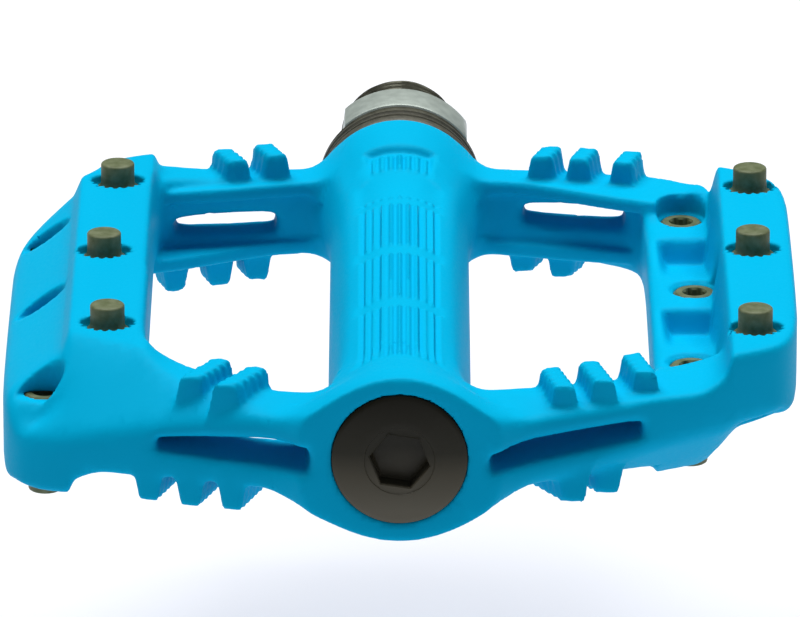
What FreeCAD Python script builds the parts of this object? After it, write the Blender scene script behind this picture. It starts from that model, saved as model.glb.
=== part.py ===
import FreeCAD, Part
import Sketcher
import math
import os

# Flat pedal with a moulded platform that turns on a steel spindle.
#
# Frame: +Z up, +X across the platform, +Y along the spindle towards the crank.
# The origin is on the spindle's axis, in the plane of the shoulder that meets the crank.
# The platform looks the same after half a turn about the spindle, so a feature on the
# top left is repeated on the bottom right.

doc = FreeCAD.newDocument("flat_pedal")
sheet = doc.addObject("Spreadsheet::Sheet", "Sizes")

SIZES = [
    # the platform as a whole: distances from its own centre
    ("platform_centre", 57.2, "platform centre, outboard of the crank shoulder"),
    ("half_long", 45.2, "half the platform's length along the spindle"),
    ("half_wide", 46.3, "half the platform's width"),
    # decks and bars: heights above and below the spindle's axis
    ("deck_outer", 9.0, "height of the raised outer deck"),
    ("deck_step", 7.4, "height just inside the raised outer deck"),
    ("deck_inner", 7.7, "height of the inner deck"),
    ("bar_reach", 15.5, "length along the spindle of the bars' roots in the rails"),
    ("bar_half", 4.8, "half the height of the cross bars"),
    ("slant_top", 5.6, "height where the slanted face leaves the inner deck's edge"),
    ("slant_foot", 0.2, "height where the slanted face meets the side"),
    ("shelf_high", 2.6, "height of the shelf behind the inner pins"),
    ("step_x", 37.7, "inner edge of the raised outer deck"),
    ("shelf_x", 36.0, "outer edge of the shelf"),
    ("slant_x", 38.3, "outer edge of the inner deck"),
    ("rail_x", 29.4, "inner wall of the side rails"),
    # plan outline
    ("back_y", 42.3, "inboard edge of the bars, next to the hub"),
    ("back_rail_y", 39.5, "inboard edge of the bars, at the rails"),
    ("back_corner_y", 26.0, "where the inboard corner ends"),
    ("side_y", 20.0, "where the straight side starts"),
    ("front_side_y", -23.5, "where the straight side ends"),
    ("front_corner_y", -33.2, "outboard corner"),
    ("front_rail_y", -37.7, "outboard edge at the rails"),
    ("front_hub_y", -42.5, "outboard edge next to the hub"),
    # windows
    ("window_back_y", 37.0, "inboard edge of the windows"),
    ("window_front_y", -34.5, "outboard edge of the windows"),
    ("window_corner", 6.5, "length of the windows' outer corners"),
    # hub
    ("hub_front_radius", 9.2, "hub radius round the end cap"),
    ("hub_waist_radius", 8.25, "hub radius between the windows"),
    ("hub_back_radius", 9.9, "hub radius at the seal"),
    # slope at the outboard end of each inner deck, through a point on the deck
    ("slope_x", 34.0, "the point, across"),
    ("slope_y", -28.0, "the point, along"),
    ("slope_pitch", 36.4, "fall of the slope towards the outboard end, degrees"),
    ("slope_roll", 22.8, "fall of the slope towards the side, degrees"),
    # steeper slope at the corner beside it, through a point on the slanted face
    ("corner_x", 38.9, "the point, across"),
    ("corner_y", -26.0, "the point, along"),
    ("corner_pitch", 34.4, "fall of the corner towards the outboard end, degrees"),
    ("corner_roll", 33.1, "fall of the corner towards the side, degrees"),
    # slots through the bars
    ("slot_front_near", 10.8, "outboard slot, end next to the hub"),
    ("slot_back_near", 14.8, "inboard slot, end next to the hub"),
    ("slot_far", 28.0, "slot end next to the rail"),
    ("slot_high", 2.6, "slot height"),
    ("slot_offset", 0.8, "slot centre, off the axis"),
    # lugs on the bars
    ("lug_wide", 4.1, "lug width at its foot"),
    ("lug_crest", 2.2, "lug width at its crest"),
    ("lug_pitch", 4.75, "distance from lug to lug"),
    ("lug_long", 6.5, "lug length along the spindle"),
    ("lug_low", 7.0, "height of the crests in the short rows"),
    ("lug_high", 7.6, "height of the crests in the long rows"),
    # traction pins
    ("pin_body_radius", 2.5, "threaded body of a pin"),
    ("pin_tip_radius", 2.0, "tip of a pin"),
    ("pin_tip_long", 2.7, "length of the tip"),
    ("pin_flare", 0.6, "length of the cone between tip and body"),
    ("pin_long", 12.0, "whole pin"),
    ("pin_chamfer", 0.2, "chamfer round the tip"),
    ("pin_socket", 2.5, "hex socket across flats"),
    ("pin_socket_deep", 2.2, "hex socket depth"),
    ("pin_inner_tip", 9.76, "height of the inner pins' tips"),
    ("pin_outer_tip", 11.2, "height of the outer pins' tips"),
    ("pin_recess_radius", 3.05, "recess round the tip"),
    ("pin_recess_deep", 1.0, "depth of the recess"),
    ("pin_back_radius", 2.9, "counterbore behind the pin"),
    # spindle: radii
    ("thread_radius", 7.144, "9/16 inch crank thread, outside radius"),
    ("thread_long", 11.0, "length of the crank thread"),
    ("thread_chamfer", 0.8, "chamfer at the thread's end"),
    ("collar_radius", 10.0, "collar that carries the wrench flats"),
    ("collar_long", 6.5, "length of the collar"),
    ("wrench_flats", 15.0, "wrench size across the flats"),
    ("wrench_turn", 7.0, "turn of the wrench flats about the spindle, degrees"),
    ("neck_radius", 6.5, "neck under the seal"),
    ("journal_radius", 5.0, "journal in the bushing"),
    ("shaft_radius", 4.0, "shaft between the bearings"),
    ("stud_radius", 3.0, "journal and M6 thread at the outboard end"),
    # spindle stations: distances outboard of the crank shoulder
    ("journal_start", 13.0, "neck ends"),
    ("journal_end", 32.0, "journal ends"),
    ("taper_end", 42.0, "taper ends"),
    ("bearing_start", 87.0, "inboard face of the cartridge bearing"),
    ("stud_end", 98.4, "outboard end of the spindle"),
    # seal and dust washer
    ("dust_washer_thick", 1.2, "dust washer on the spindle"),
    ("dust_washer_radius", 9.9, "dust washer outside radius"),
    ("seal_gap", 0.2, "running gap between dust washer and seal"),
    ("seal_radius", 9.95, "rubber seal outside radius"),
    ("seal_plug_radius", 8.28, "part of the seal inside the hub"),
    ("seal_plug_end", 14.8, "outboard end of the seal"),
    ("seal_pocket_end", 15.0, "end of the seal's pocket in the hub"),
    ("seal_groove", 0.35, "width and depth of the fine grooves"),
    # bushing
    ("bushing_radius", 6.0, "bushing outside radius"),
    ("bushing_start", 15.5, "inboard end of the bushing"),
    ("bushing_end", 29.5, "outboard end of the bushing"),
    ("bushing_seat_end", 30.0, "end of the bushing's seat"),
    ("bore_radius", 5.6, "clearance bore through the hub"),
    # cartridge bearing
    ("race_radius", 6.5, "bearing outside radius"),
    ("bearing_thick", 5.0, "bearing width"),
    ("inner_shoulder", 4.0, "inner race shoulder radius"),
    ("outer_shoulder", 5.5, "outer race shoulder radius"),
    ("ball_pitch_radius", 4.75, "pitch circle of the balls"),
    ("ball_radius", 0.99, "ball"),
    ("raceway_radius", 1.02, "groove for the balls"),
    ("cage_inner", 4.35, "cage inside radius"),
    ("cage_outer", 5.15, "cage outside radius"),
    ("cage_thick", 2.6, "cage width"),
    ("cage_pocket", 1.04, "cage pocket radius"),
    ("shield_thick", 0.25, "bearing shield thickness"),
    ("shield_inset", 0.15, "shield below the bearing's face"),
    ("shield_inner", 4.08, "shield inside radius"),
    ("shield_outer", 5.48, "shield outside radius"),
    # washer and locknut
    ("washer_radius", 4.3, "spindle washer"),
    ("washer_thick", 1.0, "spindle washer thickness"),
    ("nut_flats", 10.0, "locknut across flats"),
    ("nut_hex_long", 3.0, "hexagonal part of the locknut"),
    ("nut_collar_radius", 4.5, "collar that holds the nylon ring"),
    ("nut_long", 4.6, "whole locknut"),
    ("insert_radius", 3.9, "nylon ring outside radius"),
    ("insert_start", 3.3, "nylon ring start, from the nut's seat"),
    ("insert_long", 1.0, "nylon ring length"),
    # end cap
    ("cap_head_radius", 7.75, "end cap head"),
    ("cap_proud", 0.8, "end cap head, proud of the platform"),
    ("cap_sunk", 1.2, "end cap head, below the platform's face"),
    ("cap_bevel", 0.5, "chamfer round the head"),
    ("cap_stub_radius", 7.0, "threaded part of the end cap"),
    ("cap_cup_radius", 6.1, "hollow that clears the locknut"),
    ("cap_wall", 3.8, "thickness behind the cap's face"),
    ("cap_dish_radius", 4.0, "round recess in the cap's face"),
    ("cap_dish_deep", 0.5, "depth of the round recess"),
    ("cap_hex", 6.0, "hex socket across flats"),
    ("cap_hex_deep", 2.8, "hex socket depth from the cap's face"),
    ("cap_hex_turn", -9.0, "turn of the hex socket, degrees"),
    ("ring_section", 0.38, "o-ring section radius"),
    ("ring_centre", 6.62, "o-ring centre-line radius"),
    ("ring_station", 100.2, "o-ring station"),
    ("ring_groove_wide", 0.9, "o-ring groove width"),
    ("ring_groove_radius", 6.22, "o-ring groove floor radius"),
    # fits
    ("seat_gap", 0.02, "radial gap of parts that sit in one another"),
    ("running_gap", 0.03, "radial gap of parts that turn in one another"),
]

for row, (alias, value, note) in enumerate(SIZES, start=1):
    sheet.set("A%d" % row, alias)
    sheet.set("B%d" % row, str(value))
    sheet.set("C%d" % row, note)
    sheet.setAlias("B%d" % row, alias)
doc.recompute()

# plan position of the pins, from the platform's centre: across, along
INNER_PINS = [(33.8, 29.95), (34.8, 5.05), (33.8, -19.85)]
OUTER_PINS = [(41.8, 24.2), (41.5, 1.95), (41.0, -25.0)]

# rows of lugs on the upper side: name, side, direction of the slanted flank, number,
# crest height, first lug across, first lug along, and the shift along of each further lug
TOP_LUGS = [
    ("front_left", -1, -1, 2, "lug_low", 17.4, -36.3, 2.2),
    ("front_right", 1, -1, 3, "lug_high", 18.1, -37.8, 2.0),
    ("back_left", -1, 1, 2, "lug_low", 16.2, 41.0, -1.8),
    ("back_right", 1, 1, 3, "lug_high", 17.9, 39.2, -1.9),
]

BALLS = 8
ALIASES = {alias for alias, value, note in SIZES}


def size(alias):
    """Value of one cell of the sheet."""
    return float(sheet.get(alias))


def bind(thing, prop, expression):
    """Tie a property to the sheet."""
    thing.setExpression(prop, with_sheet(expression))


def with_sheet(expression):
    """The expression with the sheet's prefix before each name that the sheet holds."""
    words = []
    word = ""
    for letter in expression + " ":
        if letter.isalnum() or letter in "_.":
            word += letter
            continue
        words.append("Sizes." + word if word in ALIASES else word)
        words.append(letter)
        word = ""
    return "".join(words).strip()


def rotated(points):
    """The same outline after half a turn about the spindle."""
    return [("-(%s)" % across, "-(%s)" % up) for across, up in points]


def polygon(sketch, points):
    """Closed outline: points are pairs of expressions, each bound to the sheet."""
    numbers = []
    for pair in points:
        numbers.append([float(sketch.evalExpression(with_sheet(text))) for text in pair])
    first = sketch.GeometryCount
    count = len(points)
    for index in range(count):
        start = FreeCAD.Vector(*numbers[index], 0)
        end = FreeCAD.Vector(*numbers[(index + 1) % count], 0)
        sketch.addGeometry(Part.LineSegment(start, end), False)
    for index in range(count):
        after = first + (index + 1) % count
        sketch.addConstraint(Sketcher.Constraint("Coincident", first + index, 2, after, 1))
    for index, pair in enumerate(points):
        for axis, kind in enumerate(("DistanceX", "DistanceY")):
            number = sketch.addConstraint(
                Sketcher.Constraint(kind, first + index, 1, numbers[index][axis])
            )
            bind(sketch, "Constraints[%d]" % number, pair[axis])


def free_sketch(name, outlines, plane):
    """Sketch for an extrusion, on the plan or on the cross-section."""
    sketch = doc.addObject("Sketcher::SketchObject", name)
    if plane == "section":
        sketch.Placement = FreeCAD.Placement(
            FreeCAD.Vector(0, 0, 0), FreeCAD.Rotation(FreeCAD.Vector(1, 0, 0), 90)
        )
    for outline in outlines:
        polygon(sketch, outline)
    return sketch


def extrude(name, sketch, direction, forward, backward):
    """Solid from a sketch, along a direction, by two lengths bound to the sheet."""
    solid = doc.addObject("Part::Extrusion", name)
    solid.Base = sketch
    solid.DirMode = "Custom"
    solid.Dir = FreeCAD.Vector(*direction)
    bind(solid, "LengthFwd", forward)
    bind(solid, "LengthRev", backward)
    solid.Solid = True
    return solid


def body_sketch(body, name, role, outlines):
    """Sketch on one of a body's own origin planes."""
    sketch = body.newObject("Sketcher::SketchObject", name)
    plane = [part for part in body.Origin.OriginFeatures if part.Role == role][0]
    sketch.AttachmentSupport = [(plane, "")]
    sketch.MapMode = "FlatFace"
    for outline in outlines:
        polygon(sketch, outline)
    return sketch


def turned_body(name, outlines):
    """Body of revolution about the spindle: points are (radius, station outboard)."""
    body = doc.addObject("PartDesign::Body", name)
    body.Label = name
    upright = [[(radius, "-(%s)" % station) for radius, station in line] for line in outlines]
    sketch = body_sketch(body, name + "_profile", "XY_Plane", upright)
    solid = body.newObject("PartDesign::Revolution", name + "_turned")
    solid.Profile = sketch
    solid.ReferenceAxis = (sketch, ["V_Axis"])
    solid.Angle = 360
    doc.recompute()
    return body


def ring_outline(inner, outer, start, end):
    return [(inner, start), (outer, start), (outer, end), (inner, end)]


def hexagon(flats, turn="0"):
    """Hexagon round the sketch's origin, by its size across flats."""
    points = []
    for corner in range(6):
        angle = "(%s + %d) * 1deg" % (turn, 60 * corner)
        reach = "(%s) / 2 / cos(30deg)" % flats
        points.append(("%s * cos(%s)" % (reach, angle), "%s * sin(%s)" % (reach, angle)))
    return points


def cylinder(name, radius, height, position, direction=(0, 0, 1)):
    """Part cylinder whose foot is at a position given by three expressions."""
    solid = doc.addObject("Part::Cylinder", name)
    bind(solid, "Radius", radius)
    bind(solid, "Height", height)
    turn = FreeCAD.Rotation(FreeCAD.Vector(0, 0, 1), FreeCAD.Vector(*direction))
    solid.Placement = FreeCAD.Placement(FreeCAD.Vector(0, 0, 0), turn)
    for axis, text in zip("xyz", position):
        bind(solid, "Placement.Base." + axis, text)
    return solid


# ---------------------------------------------------------------- platform


def half_outline():
    """Right half of the platform's plan, from the inboard end to the outboard end."""
    return [
        ("0", "half_long - 2"),
        ("9", "back_y + 0.5"),
        ("14", "back_y"),
        ("24", "back_rail_y + 1"),
        ("30", "back_rail_y"),
        ("36", "back_rail_y - 6"),
        ("half_wide - 8", "back_corner_y + 4"),
        ("half_wide - 1.5", "back_corner_y"),
        ("half_wide", "side_y"),
        ("half_wide - 0.5", "front_side_y"),
        ("half_wide - 2.2", "front_corner_y + 3"),
        ("half_wide - 5.3", "front_corner_y"),
        ("36", "front_rail_y + 1.9"),
        ("30", "front_rail_y"),
        ("17", "front_hub_y + 1.5"),
        ("12", "front_hub_y"),
        ("0", "-half_long + 1"),
    ]


def mirrored(points):
    return [("-(%s)" % across, along) for across, along in points]


def plan_block():
    right = half_outline()
    left = mirrored(right[1:-1])
    left.reverse()
    sketch = free_sketch("plan_outline", [right + left], "plan")
    return extrude("plan_block", sketch, (0, 0, 1), "deck_outer", "deck_outer")


def section_block():
    """Rails and bars as one section, drawn for the lower left and turned for the rest."""
    lower = [
        ("-half_wide - 1", "-deck_outer"),
        ("-step_x", "-deck_outer"),
        ("-step_x", "-deck_step"),
        ("-shelf_x", "-shelf_high"),
        ("-rail_x", "-shelf_high"),
        ("-rail_x", "-bar_half"),
        ("rail_x", "-bar_half"),
        ("rail_x", "-deck_inner"),
        ("slant_x", "-deck_inner"),
        ("slant_x + 0.6", "-slant_top"),
        ("half_wide + 1", "-slant_foot + 0.75"),
    ]
    sketch = free_sketch("section_outline", [lower + rotated(lower)], "section")
    return extrude("section_block", sketch, (0, 1, 0), "half_long", "half_long")


def bar_blocks():
    """The cross bars run on into the rails, as far as the raised outer decks."""
    outline = [
        ("-step_x", "-bar_half"),
        ("step_x", "-bar_half"),
        ("step_x", "bar_half"),
        ("-step_x", "bar_half"),
    ]
    blocks = []
    for name, forward, backward in (
        ("back_bar", "half_long", "bar_reach - half_long"),
        ("front_bar", "bar_reach - half_long", "half_long"),
    ):
        sketch = free_sketch(name + "_outline", [outline], "section")
        blocks.append(extrude(name, sketch, (0, 1, 0), forward, backward))
    return blocks


def window_blocks():
    right = [
        ("0", "window_back_y"),
        ("20", "window_back_y - 1"),
        ("rail_x - 3", "window_back_y - 3"),
        ("rail_x", "window_back_y - 3 - window_corner"),
        ("rail_x", "window_front_y + 3 + window_corner"),
        ("rail_x - 4", "window_front_y + 3"),
        ("14", "window_front_y"),
        ("0", "window_front_y"),
    ]
    blocks = []
    for side, outline in (("right", right), ("left", mirrored(right))):
        sketch = free_sketch("window_outline_" + side, [outline], "plan")
        blocks.append(
            extrude("window_" + side, sketch, (0, 0, 1), "2 * deck_outer", "2 * deck_outer")
        )
    return blocks


def hub_solid():
    """Outside of the hub, turned about the spindle, in the platform's own frame."""
    outline = [
        ("0", "-half_long"),
        ("hub_front_radius", "-half_long"),
        ("hub_front_radius", "-half_long + 7"),
        ("hub_waist_radius", "window_front_y"),
        ("hub_waist_radius", "window_back_y - 6"),
        ("hub_back_radius", "window_back_y + 2"),
        ("hub_back_radius", "half_long"),
        ("0", "half_long"),
    ]
    sketch = free_sketch("hub_outline", [outline], "plan")
    hub = doc.addObject("Part::Revolution", "hub")
    hub.Source = sketch
    hub.Axis = FreeCAD.Vector(0, 1, 0)
    hub.Angle = 360
    hub.Solid = True
    return hub


def bore_solid():
    """Everything that is drilled out of the hub: stations become the platform's own."""
    steps = [
        ("seal_plug_radius + seat_gap", "platform_centre - half_long - 1"),
        ("bushing_radius + seat_gap", "seal_pocket_end"),
        ("bore_radius", "bushing_seat_end"),
        ("race_radius + seat_gap", "bearing_start"),
        ("cap_stub_radius + seat_gap", "bearing_start + bearing_thick"),
        ("cap_head_radius + 0.1", "platform_centre + half_long - cap_sunk"),
    ]
    last = "platform_centre + half_long + 1"
    outline = [("0", "platform_centre - (%s)" % steps[0][1])]
    for index, (radius, start) in enumerate(steps):
        end = steps[index + 1][1] if index + 1 < len(steps) else last
        outline.append((radius, "platform_centre - (%s)" % start))
        outline.append((radius, "platform_centre - (%s)" % end))
    outline.append(("0", "platform_centre - (%s)" % last))
    sketch = free_sketch("bore_outline", [outline], "plan")
    bore = doc.addObject("Part::Revolution", "hub_bore")
    bore.Source = sketch
    bore.Axis = FreeCAD.Vector(0, 1, 0)
    bore.Angle = 360
    bore.Solid = True
    return bore


def slope_blocks():
    """Blocks whose lower faces are the slopes at the end of each inner deck."""
    reach = 60
    blocks = []
    for slope, height in (("slope", "deck_inner"), ("corner", "slant_top")):
        pivot = FreeCAD.Vector(-size(slope + "_x"), size(slope + "_y"), size(height))
        roll = FreeCAD.Rotation(FreeCAD.Vector(0, 1, 0), -size(slope + "_roll"))
        pitch = FreeCAD.Rotation(FreeCAD.Vector(1, 0, 0), size(slope + "_pitch"))
        turn = roll.multiply(pitch)
        corner = turn.multVec(FreeCAD.Vector(-reach / 2, -reach / 2, 0))
        for name, flip in (("top_left", 0), ("bottom_right", 180)):
            block = doc.addObject("Part::Box", "%s_%s" % (slope, name))
            block.Length = reach
            block.Width = reach
            block.Height = reach / 2
            half_turn = FreeCAD.Placement(
                FreeCAD.Vector(0, 0, 0), FreeCAD.Rotation(FreeCAD.Vector(0, 1, 0), flip)
            )
            block.Placement = half_turn.multiply(FreeCAD.Placement(pivot.add(corner), turn))
            blocks.append(block)
    return blocks


def slot_blocks():
    """A slot through each half of both bars, left ones lower than right ones."""
    blocks = []
    ends = (
        ("front", "slot_front_near", "0", "half_long"),
        ("back", "slot_back_near", "half_long", "0"),
    )
    for side, sign in (("left", -1), ("right", 1)):
        low = "%d * slot_offset - slot_high / 2" % sign
        high = "%d * slot_offset + slot_high / 2" % sign
        for end, near, forward, backward in ends:
            name = "slot_%s_%s" % (end, side)
            outline = [
                ("%d * %s" % (sign, near), low),
                ("%d * slot_far" % sign, low),
                ("%d * slot_far" % sign, high),
                ("%d * %s" % (sign, near), high),
            ]
            sketch = free_sketch(name + "_outline", [outline], "section")
            blocks.append(extrude(name, sketch, (0, 1, 0), forward, backward))
    return blocks


def lug_blocks():
    """Blocks with one steep flank and one slanted flank."""
    blocks = []
    for group, side, slant, count, crest, first, along, drift in TOP_LUGS:
        for number in range(count):
            middle = "%d * (%s + %d * lug_pitch)" % (side, first, number)
            outline = [
                ("%s - %d * lug_wide / 2" % (middle, slant), "bar_half - 2"),
                ("%s + %d * lug_wide / 2" % (middle, slant), "bar_half - 2"),
                ("%s + %d * lug_wide / 2" % (middle, slant), "bar_half"),
                ("%s + %d * lug_crest / 2" % (middle, slant), crest),
                ("%s - %d * lug_crest / 2" % (middle, slant), crest),
                ("%s - %d * lug_wide / 2" % (middle, slant), "bar_half + 1"),
            ]
            centre = along + drift * number
            for face, points in (("top", outline), ("bottom", rotated(outline))):
                name = "lug_%s_%s_%d" % (face, group, number + 1)
                sketch = free_sketch(name + "_outline", [points], "section")
                blocks.append(
                    extrude(
                        name, sketch, (0, 1, 0),
                        "%s + lug_long / 2" % centre, "-(%s) + lug_long / 2" % centre,
                    )
                )
    return blocks


def pin_places():
    """Name, up or down, across, along, and the height alias of every pin's tip."""
    places = []
    rows = ((INNER_PINS, "pin_inner_tip", 1), (OUTER_PINS, "pin_outer_tip", -1))
    for pins, tip, left_up in rows:
        for number, (across, along) in enumerate(pins, start=1):
            for side, sign in (("left", -1), ("right", 1)):
                up = left_up if sign < 0 else -left_up
                face = "top" if up > 0 else "bottom"
                name = "pin_%s_%s_%d" % (face, side, number)
                places.append((name, up, sign * across, along, tip))
    return places


def pin_holes():
    """Threaded hole, recess round the tip and counterbore behind each pin."""
    holes = []
    for name, up, across, along, tip in pin_places():
        deck = "deck_inner" if tip == "pin_inner_tip" else "deck_outer"
        place = (str(across), str(along))
        direction = (0, 0, up)
        back = "%d * (%s - pin_long)" % (up, tip)
        recess = "%d * (%s - pin_recess_deep)" % (up, deck)
        holes.append(cylinder(
            "hole_" + name, "pin_body_radius + seat_gap", "3 * deck_outer",
            (*place, "%d * -1.5 * deck_outer" % up), direction,
        ))
        holes.append(cylinder(
            "recess_" + name, "pin_recess_radius", "pin_long", (*place, recess), direction,
        ))
        holes.append(cylinder(
            "back_" + name, "pin_back_radius", "pin_long",
            (*place, back), (0, 0, -up),
        ))
    return holes


def fused(name, parts):
    solid = doc.addObject("Part::MultiFuse", name)
    solid.Shapes = parts
    return solid


def cut(name, base, tool):
    solid = doc.addObject("Part::Cut", name)
    solid.Base = base
    solid.Tool = tool
    return solid


def platform_body():
    section = fused("platform_section", [section_block()] + bar_blocks())
    frame = doc.addObject("Part::MultiCommon", "platform_frame")
    frame.Shapes = [plan_block(), section]
    openings = fused("platform_openings", window_blocks() + slope_blocks() + slot_blocks())
    opened = cut("platform_opened", frame, openings)
    solid = fused("platform_solid", [opened, hub_solid()] + lug_blocks())
    drilled = fused("platform_holes", [bore_solid()] + pin_holes())
    body = cut("platform_body", solid, drilled)
    body.Label = "platform_body"
    bind(body, "Placement.Base.y", "-platform_centre")
    return body


# ---------------------------------------------------------------- traction pins


def traction_pin(name, up, across, along, tip):
    """Grub screw with a plain tip, drawn tip up with its hex socket at the foot."""
    pin = doc.addObject("PartDesign::Body", name)
    pin.Label = name
    outline = [
        ("0", "0"),
        ("pin_body_radius - 0.3", "0"),
        ("pin_body_radius", "0.3"),
        ("pin_body_radius", "pin_long - pin_tip_long - pin_flare"),
        ("pin_tip_radius", "pin_long - pin_tip_long"),
        ("pin_tip_radius", "pin_long - pin_chamfer"),
        ("pin_tip_radius - pin_chamfer", "pin_long"),
        ("0", "pin_long"),
    ]
    sketch = body_sketch(pin, name + "_profile", "XZ_Plane", [outline])
    turned = pin.newObject("PartDesign::Revolution", name + "_turned")
    turned.Profile = sketch
    turned.ReferenceAxis = (sketch, ["V_Axis"])
    turned.Angle = 360
    doc.recompute()
    socket_sketch = body_sketch(pin, name + "_hex", "XY_Plane", [hexagon("pin_socket")])
    socket = pin.newObject("PartDesign::Pocket", name + "_socket")
    socket.Profile = socket_sketch
    socket.Reversed = True
    bind(socket, "Length", "pin_socket_deep")
    tilt = 0 if up > 0 else 180
    pin.Placement = FreeCAD.Placement(
        FreeCAD.Vector(across, 0, 0), FreeCAD.Rotation(FreeCAD.Vector(0, 1, 0), tilt)
    )
    bind(pin, "Placement.Base.y", "%s - platform_centre" % along)
    bind(pin, "Placement.Base.z", "%d * (%s - pin_long)" % (up, tip))
    return pin


# ---------------------------------------------------------------- spindle and seals


def spindle():
    outline = [
        ("0", "-thread_long - thread_chamfer"),
        ("thread_radius - thread_chamfer", "-thread_long - thread_chamfer"),
        ("thread_radius", "-thread_long"),
        ("thread_radius", "0"),
        ("collar_radius", "0"),
        ("collar_radius", "collar_long"),
        ("neck_radius", "collar_long"),
        ("neck_radius", "journal_start - 0.5"),
        ("journal_radius", "journal_start"),
        ("journal_radius", "journal_end"),
        ("shaft_radius", "taper_end"),
        ("shaft_radius", "bearing_start"),
        ("stud_radius", "bearing_start"),
        ("stud_radius", "stud_end - 0.5"),
        ("stud_radius - 0.5", "stud_end"),
        ("0", "stud_end"),
    ]
    body = turned_body("spindle", [outline])
    full = body.Shape.Volume
    reach = "collar_radius + 1"
    flats = []
    for sign in (-1, 1):
        flats.append([
            ("%d * wrench_flats / 2" % sign, "-(%s)" % reach),
            ("%d * (%s)" % (sign, reach), "-(%s)" % reach),
            ("%d * (%s)" % (sign, reach), reach),
            ("%d * wrench_flats / 2" % sign, reach),
        ])
    sketch = body_sketch(body, "wrench_outline", "XZ_Plane", flats)
    cutter = body.newObject("PartDesign::Pocket", "wrench_cut")
    cutter.Profile = sketch
    cutter.Reversed = True
    bind(cutter, "Length", "collar_long")
    doc.recompute()
    assert body.Shape.Volume < full - 1, "the wrench flats cut nothing"
    body.Placement.Rotation = FreeCAD.Rotation(FreeCAD.Vector(0, 1, 0), size("wrench_turn"))
    return body


def seal_outline():
    """Rubber ring with two fine grooves round it and a plug inside the hub."""
    start = "(collar_long + dust_washer_thick + seal_gap)"
    end = "(platform_centre - half_long)"
    outline = [("neck_radius + running_gap", start), ("seal_radius - 0.3", start)]
    outline.append(("seal_radius", start + " + 0.3"))
    for offset in (0.9, 1.9):
        edge = "%s + %s" % (start, offset)
        floor = "seal_radius - seal_groove"
        outline.append(("seal_radius", edge))
        outline.append((floor, edge))
        outline.append((floor, edge + " + seal_groove"))
        outline.append(("seal_radius", edge + " + seal_groove"))
    outline += [
        ("seal_radius", end),
        ("seal_plug_radius", end),
        ("seal_plug_radius", "seal_plug_end"),
        ("neck_radius + 0.6", "seal_plug_end"),
        ("neck_radius + 0.6", "journal_start - 1"),
        ("neck_radius + running_gap", "journal_start - 1.5"),
    ]
    return outline


# ---------------------------------------------------------------- cartridge bearing


def race(name, inner, outer):
    """Bearing race: a plain ring with a groove for the balls."""
    start = "bearing_start"
    ring = turned_body(name + "_blank", [
        ring_outline(inner, outer, start, start + " + bearing_thick")
    ])
    groove = ball_track(name + "_groove", "raceway_radius")
    solid = cut(name, ring, groove)
    solid.Label = name
    return solid


def ball_track(name, radius):
    """Torus along the balls' pitch circle."""
    torus = doc.addObject("Part::Torus", name)
    bind(torus, "Radius1", "ball_pitch_radius")
    bind(torus, "Radius2", radius)
    torus.Placement = FreeCAD.Placement(
        FreeCAD.Vector(0, 0, 0), FreeCAD.Rotation(FreeCAD.Vector(1, 0, 0), 90)
    )
    bind(torus, "Placement.Base.y", "-bearing_start - bearing_thick / 2")
    return torus


def ball_sphere(name, radius, number):
    """Sphere at one ball's place on the pitch circle."""
    sphere = doc.addObject("Part::Sphere", name)
    bind(sphere, "Radius", radius)
    angle = "%s * 1deg" % (360.0 * number / BALLS)
    bind(sphere, "Placement.Base.x", "ball_pitch_radius * cos(%s)" % angle)
    bind(sphere, "Placement.Base.y", "-bearing_start - bearing_thick / 2")
    bind(sphere, "Placement.Base.z", "ball_pitch_radius * sin(%s)" % angle)
    return sphere


def bearing_cage():
    """Ring with a round pocket, drilled from the outside, for each ball."""
    middle = "bearing_start + bearing_thick / 2"
    ring = turned_body("cage_blank", [ring_outline(
        "cage_inner", "cage_outer", middle + " - cage_thick / 2", middle + " + cage_thick / 2"
    )])
    pockets = []
    for number in range(BALLS):
        angle = 2 * math.pi * number / BALLS
        outward = (math.cos(angle), 0, math.sin(angle))
        pockets.append(cylinder(
            "cage_pocket_%d" % number, "cage_pocket", "2 * race_radius",
            ("0", "-(%s)" % middle, "0"), outward,
        ))
    cage = cut("bearing_cage", ring, fused("cage_pockets", pockets))
    cage.Label = "bearing_cage"
    return cage


def bearing():
    parts = [
        race("bearing_inner_race", "stud_radius + seat_gap", "inner_shoulder"),
        race("bearing_outer_race", "outer_shoulder", "race_radius"),
        bearing_cage(),
    ]
    for number in range(BALLS):
        ball = ball_sphere("bearing_ball_%d" % (number + 1), "ball_radius", number)
        ball.Label = "bearing_ball_%d" % (number + 1)
        parts.append(ball)
    inboard = "bearing_start + shield_inset"
    outboard = "bearing_start + bearing_thick - shield_inset - shield_thick"
    for side, start in (("inboard", inboard), ("outboard", outboard)):
        parts.append(turned_body("bearing_shield_" + side, [
            ring_outline("shield_inner", "shield_outer", start, start + " + shield_thick")
        ]))
    return parts


# ---------------------------------------------------------------- washer, locknut, end cap


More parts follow.
